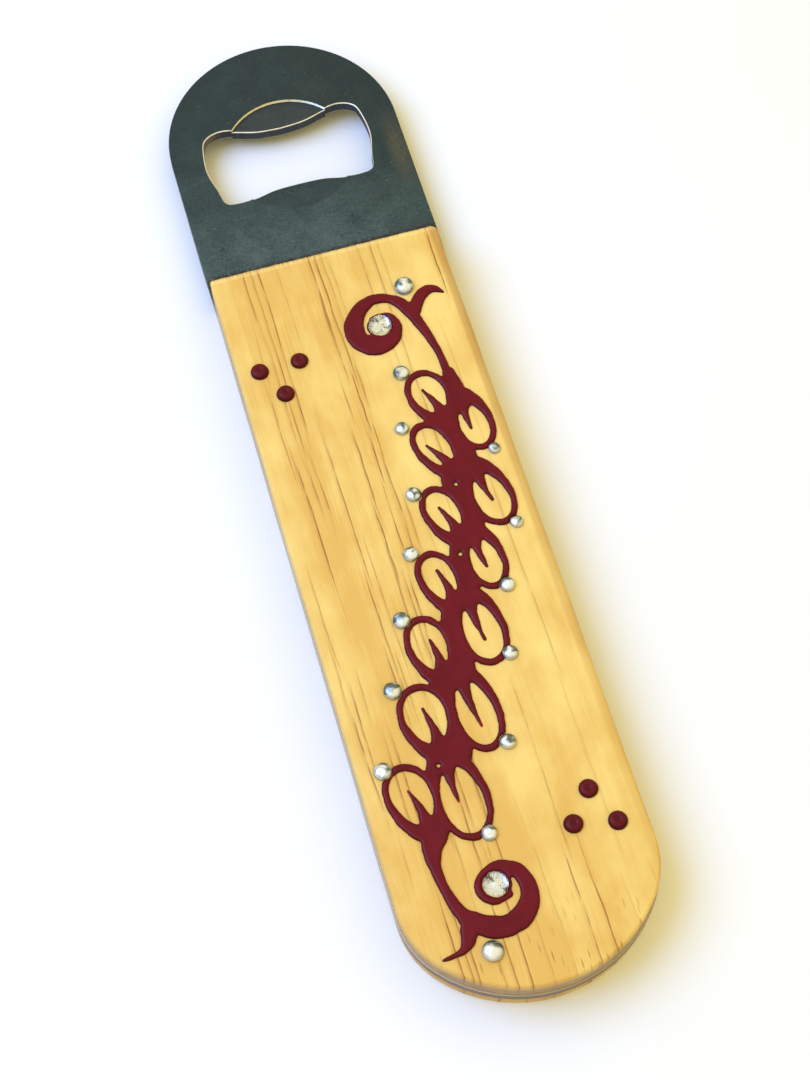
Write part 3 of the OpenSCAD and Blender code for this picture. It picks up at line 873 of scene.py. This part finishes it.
class OPENER_OT_steel_blade(bpy.types.Operator):
    """Make the steel blade with its punched mouth and pressed lenses"""

    bl_idname = "opener.steel_blade"
    bl_label = "Steel Blade"

    def execute(self, context):
        looks = context.scene.opener_steel
        shape = welded("blade")
        face_part, edge_part, side_part = 0, 1, 2
        steps = set()
        for face in shape.faces:
            face.material_index = face_part
            if abs(face.normal.z) >= STEEP:
                continue
            face.material_index = side_part
            heights = [v.co.z for v in face.verts]
            if max(heights) - min(heights) < LENS_STEP:
                steps.add(face)
                if min(heights) > STEEL_MIDDLE:
                    face.material_index = edge_part

        def by_mouth(edge):
            middle = (edge.verts[0].co + edge.verts[1].co) / 2
            return abs(middle.x) < MOUTH_REACH_X and MOUTH_LOW_Y < middle.y < MOUTH_HIGH_Y

        corner = math.radians(50)
        sharp = [e for e in shape.edges if e.is_manifold and e.calc_face_angle() > corner]
        sharp = [e for e in sharp if not steps.intersection(e.link_faces)]
        outer = [e for e in sharp if not by_mouth(e)]
        mouth = [e for e in sharp if by_mouth(e)]
        bmesh.ops.bevel(
            shape, geom=outer, offset=looks.edge_break, offset_type="OFFSET", segments=2,
            profile=0.5, affect="EDGES", clamp_overlap=True, material=face_part)
        mouth = [e for e in mouth if e.is_valid]
        bmesh.ops.bevel(
            shape, geom=mouth, offset=looks.punched_edge, offset_type="OFFSET", segments=2,
            profile=0.5, affect="EDGES", clamp_overlap=False, material=edge_part)
        bmesh.ops.triangulate(shape, faces=[f for f in shape.faces if len(f.verts) > 4])
        mesh = bpy.data.meshes.new("steel_blade")
        shape.to_mesh(mesh)
        shape.free()
        top = max(v.co.z for v in mesh.vertices)
        pressed = [
            float(face.normal.z > FACING and LENS_LEAST < top - face.center.z < LENS_STEP)
            for face in mesh.polygons
        ]
        mesh.attributes.new("pressed", "FLOAT", "FACE").data.foreach_set("value", pressed)
        new_piece(
            "steel_blade", mesh, [blued_steel(), bright_steel(), sheared_steel()],
            ["blade"], sharp=20.0)
        for face in mesh.polygons:
            face.use_smooth = abs(face.normal.z) < LEVEL
        return {"FINISHED"}


class OPENER_OT_glue_films(bpy.types.Operator):
    """Give the two glue films their finish"""

    bl_idname = "opener.glue_films"
    bl_label = "Glue Films"

    def execute(self, context):
        r = Recipe("amber_glue")
        streaks = r.cloud(r.place, 0.4, 3.0, 0.6)
        glue = r.blend(r.spread(streaks, 0.3, 0.7), (0.10, 0.062, 0.030), (0.19, 0.12, 0.055))
        material = r.done(
            Base_Color=glue, Roughness=r.spread(streaks, 0.3, 0.7, 0.25, 0.45),
            Normal=r.relief(streaks, 0.02))
        for name in ("front_glue", "back_glue"):
            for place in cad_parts[name].material_slots:
                place.material = material
        return {"FINISHED"}


# ---------------------------------------------------------------- maroon paint

def maroon_paint(name, domed):
    """Thick satin maroon paint: darker at its steep edges as painted shade, red where it runs thin."""
    looks = bpy.context.scene.opener_paint
    r = Recipe(name)
    mottle = r.cloud(r.place, 0.35, 3.0, 0.55)
    skin = r.cloud(r.place, 2.2, 3.0, 0.6)
    body = r.blend(r.spread(mottle, 0.3, 0.7), looks.wet, tuple(1.28 * c for c in looks.wet))
    if not domed:
        # painted shade: the bead darkens over its steep edge
        edge = r.spread(r.layer("edge_gap"), 0.02, 0.32, 0.62, 0.0, smooth=True)
        body = r.blend(edge, body, looks.edge)
        low_leaves = r.spread(r.y, -42.0, -50.0)
        low_leaves = r.times(low_leaves, r.spread(r.y, -68.0, -64.0))
        thin = r.times(r.spread(r.layer("bead_width"), 0.30, 0.17, 0.0, 0.85), low_leaves)
        body = r.blend(thin, body, looks.thin)
    else:
        body = r.blend(0.30, body, looks.edge)
        # painted shade: the dots darken at their steep rims and in their craters
        rim_shade = r.spread(r.layer("out"), 0.66, 0.95, 0.0, 0.85)
        crater_shade = r.spread(r.layer("out"), 0.34, 0.18, 0.0, 0.55)
        body = r.blend(r.math("MAXIMUM", rim_shade, crater_shade), body, looks.edge)
    return r.done(
        Base_Color=body, Roughness=r.spread(skin, 0.3, 0.7, 0.30, 0.42), Specular_IOR_Level=0.14,
        Normal=r.relief(skin, 0.008))


def painted_bead(node, name, material):
    """A raised bead of paint over the flat outline of a CAD node."""
    looks = bpy.context.scene.opener_paint
    low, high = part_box(node)
    loops = []
    for k, loop in enumerate(loops_at(node, low.z)):
        loop = relaxed(resampled(loop, looks.spacing * 0.85), 3)
        solid = signed_area(loop) > 0
        ring = loop if solid else loop[::-1]
        sway = np.array([ripple((*p, 0), 0.0016, 3) + 0.5 * ripple((*p, 0), 0.0006, 4) for p in ring])
        ring = ring + outward(ring) * (looks.wander * sway)[:, None]
        loops.append(ring)
    edge = np.vstack(loops)
    inset = 0.09 * MM
    ledge = np.vstack([loop - outward(loop) * inset for loop in loops])
    ledge = ledge[inside(ledge, loops)]
    ledge = ledge[edge_distance(ledge, loops) > 0.75 * inset]
    field = lattice(loops, looks.spacing)
    field = field[edge_distance(field, loops) > 2.0 * inset]
    corners, faces = triangulated(loops, np.vstack([ledge, field]))
    gap = np.concatenate([np.zeros(len(edge)), edge_distance(corners[len(edge):], loops)])
    width = local_width(corners, gap, 0.0007)

    rise = np.clip(gap / looks.shoulder, 0, 1)
    wall = 0.34
    dome = wall + (1 - wall) * np.sqrt(1 - (1 - rise) ** 2)
    full = np.clip(0.42 + 0.58 * width / (0.55 * MM), 0, 1)
    sag = np.clip((gap - looks.shoulder) / (1.2 * MM), 0, 1) * 0.10
    roll = np.array([ripple((*p, 0), 0.0030, 6) for p in corners])
    top = (high.z - low.z) * full * dome * (0.93 - sag + 0.07 * roll)
    under_corners, under_faces = triangulated(loops, np.empty((0, 2)))

    up = [f if winding(corners, f) else f[::-1] for f in faces]
    foot = len(corners)
    down = [f[::-1] + foot if winding(under_corners, f) else f + foot for f in under_faces]
    walls, start = [], 0
    for loop in loops:
        for k in range(len(loop)):
            here, after = start + k, start + (k + 1) % len(loop)
            walls.append((here + foot, after + foot, after, here))
        start += len(loop)
    every = np.vstack([
        np.column_stack([corners, low.z + top]),
        np.column_stack([edge, np.full(len(edge), low.z)]),
    ])
    foot_zeros = np.zeros(len(edge))
    mesh = mesh_from(
        name, every, up + walls + down,
        [("edge_gap", np.concatenate([gap, foot_zeros]) / MM),
         ("bead_width", np.concatenate([width, width[:len(edge)]]) / MM)])
    return new_piece(name, mesh, [material], [node], sharp=85.0)


def winding(corners, face):
    """Whether a triangle runs counter-clockwise seen from above."""
    a, b, c = (corners[int(i)] for i in face)
    return (b[0] - a[0]) * (c[1] - a[1]) - (c[0] - a[0]) * (b[1] - a[1]) > 0


def local_width(points, gap, reach):
    """The widest gap to the edge within reach of each point, small only where the bead is thin."""
    cell = reach
    keys = np.floor(points / cell).astype(int)
    buckets = {}
    for i, key in enumerate(map(tuple, keys)):
        buckets.setdefault(key, []).append(i)
    found = np.zeros(len(points))
    for (kx, ky), members in buckets.items():
        around = [(kx + dx, ky + dy) for dx in (-1, 0, 1) for dy in (-1, 0, 1)]
        near = np.array([i for key in around for i in buckets.get(key, ())])
        for i in members:
            far = np.sum((points[near] - points[i]) ** 2, 1)
            found[i] = gap[near][far < reach * reach].max()
    return found


class OPENER_OT_paint_vine(bpy.types.Operator):
    """Make the raised painted vine"""

    bl_idname = "opener.paint_vine"
    bl_label = "Painted Vine"

    def execute(self, context):
        painted_bead("vine", "painted_vine", maroon_paint("maroon_vine_paint", False))
        return {"FINISHED"}


def drop_piece(node, name, seed, wander, profile, peak_shift, material):
    """A small irregular dome in the box of a CAD node. Its points keep their share of the radius
    and of the way up the handle. profile lists shares of the radius and of the height, foot first."""
    points_round = 56
    low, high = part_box(node)
    centre = (low + high) / 2
    radius = min(high.x - low.x, high.y - low.y) / 2
    rise = high.z - low.z
    corners = [(centre.x, centre.y, low.z)]
    lean = Vector((math.cos(seed * 2.4), math.sin(seed * 2.4))) * peak_shift * radius
    for out, up in profile:
        for k in range(points_round):
            turn = 2 * math.pi * k / points_round
            swing = 0.5 + 0.5 * ripple((math.cos(turn), math.sin(turn), 0.3 * up), 0.9, seed)
            here = radius * out * (1 - wander * swing)
            corners.append((
                centre.x + here * math.cos(turn) + lean.x * up,
                centre.y + here * math.sin(turn) + lean.y * up,
                low.z + rise * up * (1 - 0.5 * wander * swing),
            ))
    out, up = profile[-1]
    top_z = low.z + rise * up * (1 - 0.25 * wander)
    corners.append((centre.x + lean.x * up, centre.y + lean.y * up, top_z))
    shares = [0.0] + [out for out, up in profile for k in range(points_round)] + [0.0]
    ways = [(c[1] - centre.y) / radius for c in corners]
    faces = turned_surface(len(profile), points_round)
    mesh = mesh_from(name, corners, faces, [("out", shares), ("up_handle", ways)])
    return new_piece(name, mesh, [material], [node], sharp=80.0)


DOT_PROFILE = [
    (0.97, 0.0), (1.0, 0.08), (0.99, 0.22), (0.95, 0.40), (0.88, 0.56), (0.78, 0.70), (0.66, 0.80),
    (0.54, 0.86), (0.43, 0.875), (0.34, 0.83), (0.27, 0.74), (0.20, 0.68), (0.13, 0.68), (0.07, 0.72),
]
DROP_PROFILE = [
    (0.96, 0.0), (1.0, 0.07), (1.0, 0.20), (0.97, 0.36), (0.91, 0.52), (0.82, 0.67), (0.70, 0.79),
    (0.56, 0.87), (0.42, 0.92), (0.29, 0.945), (0.18, 0.965), (0.10, 0.985), (0.05, 1.0),
]


class OPENER_OT_paint_dots(bpy.types.Operator):
    """Make the separate maroon paint dots"""

    bl_idname = "opener.paint_dots"
    bl_label = "Paint Dots"

    def execute(self, context):
        material = maroon_paint("maroon_dot_paint", True)
        nodes = sorted(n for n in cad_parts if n.startswith("maroon_dot_"))
        for k, node in enumerate(nodes):
            drop_piece(
                node, f"paint_dot_{k + 1}", k + 1, 0.05, DOT_PROFILE, 0.10, material)
        return {"FINISHED"}


# ---------------------------------------------------------------- silver drops

def silver_pearl():
    """Silver pearl paint with grey swirls from the nozzle; a painted reflection darkens each drop on its
    side towards the head, and painted shade darkens its rim.
    """
    looks = bpy.context.scene.opener_drops
    r = Recipe("silver_pearl_paint")
    swirl = r.cloud(r.place, 0.45, 1.0, 0.5, 1.2)
    fine = r.cloud(r.place, 4.0, 3.0, 0.6)
    # painted reflection: each drop darkens on its side towards the head, mixed with the swirls
    swirl_and_top_shade = r.plus(r.layer("up_handle"), r.spread(swirl, 0.3, 0.7, -0.95, 0.95))
    tone = r.spread(swirl_and_top_shade, -0.25, 0.75, 0.0, 0.92, smooth=True)
    # painted shade: the drop darkens at its rim
    rim_shade = r.spread(r.layer("out"), 0.90, 1.0, 0.0, 0.50)
    pearl = r.blend(r.math("MAXIMUM", tone, rim_shade), looks.pearl, looks.streak_and_shade)
    pearl = r.blend(r.spread(fine, 0.55, 0.75, 0.0, 0.10), pearl, looks.streak_and_shade)
    bump = r.relief(swirl, 0.25)
    return r.done(
        Base_Color=pearl, Metallic=0.72, Roughness=r.spread(fine, 0.3, 0.7, 0.26, 0.34),
        Normal=r.relief(fine, 0.003, bump))


class OPENER_OT_pearl_drops(bpy.types.Operator):
    """Make the silver pearl drops along the vine"""

    bl_idname = "opener.pearl_drops"
    bl_label = "Pearl Drops"

    def execute(self, context):
        looks = context.scene.opener_drops
        material = silver_pearl()
        nodes = sorted(
            (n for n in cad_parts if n.startswith("silver_drop_")),
            key=lambda n: int(n.rsplit("_", 1)[1]))
        for k, node in enumerate(nodes):
            drop_piece(
                node, f"pearl_drop_{k + 1}", k + 11, looks.wander, DROP_PROFILE, 0.16, material)
        return {"FINISHED"}


# ---------------------------------------------------------------- stones

def ring_points(centre, radius, z, count, turn=0.0):
    """Points evenly round a circle."""
    return [
        (centre.x + radius * math.cos(2 * math.pi * (k + turn) / count),
         centre.y + radius * math.sin(2 * math.pi * (k + turn) / count), z)
        for k in range(count)
    ]


def clear_stone():
    """Clear moulded acrylic with faint swirls."""
    looks = bpy.context.scene.opener_stones
    r = Recipe("clear_acrylic")
    haze = r.cloud(r.place, 1.2, 2.0, 0.5)
    return r.done(
        Base_Color=r.blend(r.spread(haze, 0.3, 0.7), looks.tint, (0.98, 0.98, 0.97)),
        Roughness=r.spread(haze, 0.3, 0.7, 0.01, 0.05), Transmission_Weight=1.0, IOR=1.49,
        Normal=r.relief(haze, 0.003))


def mirror_foil():
    """Silvered foil with a fine crinkle; its facets and crinkles are darker and lighter in turn as
    painted reflections.
    """
    looks = bpy.context.scene.opener_stones
    r = Recipe("silvered_foil")
    crinkle = r.cloud(r.place, 0.75, 2.0, 0.5)
    # painted reflection: facets and crinkles take turns at dark and light
    tone = r.plus(r.layer("facet_reflection"), r.spread(crinkle, 0.35, 0.65, -0.25, 0.55))
    return r.done(
        Base_Color=r.blend(r.spread(tone, 0.35, 0.85), looks.foil, (0.05, 0.07, 0.10)),
        Metallic=0.50, Roughness=r.spread(crinkle, 0.3, 0.7, 0.12, 0.25),
        Normal=r.relief(crinkle, 0.02))


def cut_stone(which, stone_material, foil_material):
    """One brilliant-cut flat-back over a foil pressed into shallow facets."""
    looks = bpy.context.scene.opener_stones
    low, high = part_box(f"stone_{which}")
    foil_low, foil_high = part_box(f"stone_foil_{which}")
    centre = (low + high) / 2
    radius = min(high.x - low.x, high.y - low.y) / 2
    n = looks.facets
    rise = high.z - low.z
    girdle_low = ring_points(centre, radius, low.z + 0.06 * rise, 2 * n)
    girdle_high = ring_points(centre, radius, low.z + 0.26 * rise, 2 * n)
    breaks = ring_points(centre, radius * 0.82, low.z + 0.66 * rise, n, 0.5)
    table = ring_points(centre, radius * looks.table, high.z, n)
    floor = ring_points(centre, radius * 0.97, low.z, 2 * n)
    point = (centre.x, centre.y, low.z + looks.pressed)
    corners = girdle_low + girdle_high + breaks + table + floor + [point]
    g0, g1, b0, t0, f0, p0 = 0, 2 * n, 4 * n, 5 * n, 6 * n, 8 * n
    faces = [tuple(t0 + k for k in range(n))]
    for k in range(n):
        after = (k + 1) % n
        mid, nxt = g1 + 2 * k + 1, g1 + 2 * after
        faces += [
            (t0 + k, b0 + k, t0 + after),
            (g1 + 2 * k, mid, b0 + k),
            (mid, nxt, b0 + k),
            (t0 + after, b0 + k, nxt, b0 + after),
        ]
    for k in range(2 * n):
        after = (k + 1) % (2 * n)
        faces += [
            (g0 + k, g0 + after, g1 + after, g1 + k),
            (f0 + k, f0 + after, g0 + after, g0 + k),
            (f0 + after, f0 + k, p0),
        ]
    name = f"craft_stone_{which}"
    stone = mesh_from(name, corners, faces)
    new_piece(name, stone, [stone_material], [f"stone_{which}"], sharp=1.0)

    gap = 0.015 * MM
    cup_radius = min(foil_high.x - foil_low.x, foil_high.y - foil_low.y) / 2
    rim_low = ring_points(centre, cup_radius, foil_low.z, 2 * n)
    rim_high = ring_points(centre, cup_radius, foil_high.z - gap, 2 * n)
    tip = (centre.x, centre.y, foil_high.z + looks.pressed - gap)
    under = (centre.x, centre.y, foil_low.z)
    corners = rim_low + rim_high + [tip, under]
    faces = []
    for k in range(2 * n):
        after = (k + 1) % (2 * n)
        faces += [
            (k, after, 2 * n + after, 2 * n + k),
            (2 * n + k, 2 * n + after, 4 * n),
            (after, k, 4 * n + 1),
        ]
    name = f"foil_cup_{which}"
    cup = mesh_from(name, corners, faces)
    # painted reflection: each facet of the foil gets its own darkness
    facet_reflections = [0.18 + 0.18 * math.sin(2.4 * (i // 3) + centre.y / MM) for i in range(len(faces))]
    cup.attributes.new("facet_reflection", "FLOAT", "FACE").data.foreach_set("value", facet_reflections)
    new_piece(name, cup, [foil_material], [f"stone_foil_{which}"], sharp=1.0)


class OPENER_OT_craft_stones(bpy.types.Operator):
    """Make the two faceted stones and their foil"""

    bl_idname = "opener.craft_stones"
    bl_label = "Craft Stones"

    def execute(self, context):
        stone_material, foil_material = clear_stone(), mirror_foil()
        for which in ("upper", "lower"):
            cut_stone(which, stone_material, foil_material)
        return {"FINISHED"}


# ---------------------------------------------------------------- stage

def floor_finish():
    """Pale, slightly uneven paper-white floor."""
    looks = bpy.context.scene.opener_stage
    r = Recipe("pale_floor")
    tone = r.cloud(r.place, 0.012, 3.0, 0.5)
    shade = r.blend(r.spread(tone, 0.35, 0.65), looks.floor, tuple(0.975 * c for c in looks.floor))
    return r.done(Base_Color=shade, Roughness=0.9, Specular_IOR_Level=0.1)


FLOOR_HALF = 1.5
WINDOW_OFFSET = Vector((-0.40, 0.12, 0.60))
WINDOW_SIZE = 0.60
LOW_SKY = (0.16, 0.15, 0.13, 1)


def soft_light(name, place, target, size, power, tint):
    """A round soft light that faces a point."""
    data = bpy.data.lights.new(name, "AREA")
    data.shape = "DISK"
    data.size = size
    data.energy = power
    data.color = tint
    lamp = bpy.data.objects.new(name, data)
    lamp.location = place
    lamp.rotation_euler = (Vector(target) - Vector(place)).to_track_quat("-Z", "Y").to_euler()
    bpy.context.scene.collection.objects.link(lamp)
    return lamp


class OPENER_OT_stage(bpy.types.Operator):
    """Make the floor, the lights and the camera"""

    bl_idname = "opener.stage"
    bl_label = "Stage"

    def execute(self, context):
        scene = context.scene
        looks = scene.opener_stage
        corners = [(x * FLOOR_HALF, y * FLOOR_HALF, 0) for x, y in ((-1, -1), (1, -1), (1, 1), (-1, 1))]
        mesh = bpy.data.meshes.new("floor")
        mesh.from_pydata(corners, [], [(0, 1, 2, 3)])
        mesh.materials.append(floor_finish())
        floor = bpy.data.objects.new("floor", mesh)
        scene.collection.objects.link(floor)

        middle = (CAD_LOW + CAD_HIGH) / 2
        window = middle + WINDOW_OFFSET
        soft_light("window_light", window, middle, WINDOW_SIZE, looks.key_power, looks.key)

        world = bpy.data.worlds.new("soft_room")
        world.use_nodes = True
        tree = world.node_tree
        sky = tree.nodes["Background"]
        sky.inputs["Strength"].default_value = looks.fill_strength
        direction = tree.nodes.new("ShaderNodeTexCoord")
        upward = tree.nodes.new("ShaderNodeVectorMath")
        upward.operation = "DOT_PRODUCT"
        upward.inputs[1].default_value = (0.05, 0.10, 1.0)
        tree.links.new(direction.outputs["Generated"], upward.inputs[0])
        rising = tree.nodes.new("ShaderNodeValToRGB")
        low, high = rising.color_ramp.elements
        low.position, high.position = 0.0, 0.55
        low.color, high.color = LOW_SKY, (*looks.fill, 1)
        tree.links.new(upward.outputs["Value"], rising.inputs[0])
        tree.links.new(rising.outputs[0], sky.inputs["Color"])
        scene.world = world
        scene.view_settings.view_transform = "Standard"

        data = bpy.data.cameras.new("camera")
        data.lens = looks.lens
        data.sensor_width = 36.0
        data.clip_start = 0.01
        camera = bpy.data.objects.new("camera", data)
        camera.location = looks.camera_place
        camera.rotation_euler = looks.camera_turn
        scene.collection.objects.link(camera)
        scene.camera = camera
        return {"FINISHED"}


# ---------------------------------------------------------------- add-on

OPERATORS = (
    OPENER_OT_steel_blade,
    OPENER_OT_pine_boards,
    OPENER_OT_glue_films,
    OPENER_OT_paint_vine,
    OPENER_OT_paint_dots,
    OPENER_OT_pearl_drops,
    OPENER_OT_craft_stones,
    OPENER_OT_stage,
)
SETTINGS = {
    "opener_steel": SteelSettings,
    "opener_pine": PineSettings,
    "opener_paint": PaintSettings,
    "opener_drops": DropSettings,
    "opener_stones": StoneSettings,
    "opener_stage": StageSettings,
}


class OPENER_PT_pieces(bpy.types.Panel):
    """Lists the opener's pieces and their settings"""

    bl_label = "Bottle Opener"
    bl_idname = "OPENER_PT_pieces"
    bl_space_type = "VIEW_3D"
    bl_region_type = "UI"
    bl_category = "Opener"

    def draw(self, context):
        for operator in OPERATORS:
            self.layout.operator(operator.bl_idname)
        for name, group in SETTINGS.items():
            box = self.layout.box()
            box.label(text=group.__doc__)
            for setting in group.__annotations__:
                box.prop(getattr(context.scene, name), setting)


def register():
    for group in SETTINGS.values():
        bpy.utils.register_class(group)
    for name, group in SETTINGS.items():
        setattr(bpy.types.Scene, name, bpy.props.PointerProperty(type=group))
    for operator in OPERATORS:
        bpy.utils.register_class(operator)
    bpy.utils.register_class(OPENER_PT_pieces)


def unregister():
    bpy.utils.unregister_class(OPENER_PT_pieces)
    for operator in reversed(OPERATORS):
        bpy.utils.unregister_class(operator)
    for name, group in SETTINGS.items():
        delattr(bpy.types.Scene, name)
        bpy.utils.unregister_class(group)


def main():
    """Registers the add-on, then builds every piece in order."""
    register()
    for operator in OPERATORS:
        group, action = operator.bl_idname.split(".")
        getattr(getattr(bpy.ops, group), action)()


if __name__ == "__main__":
    main()
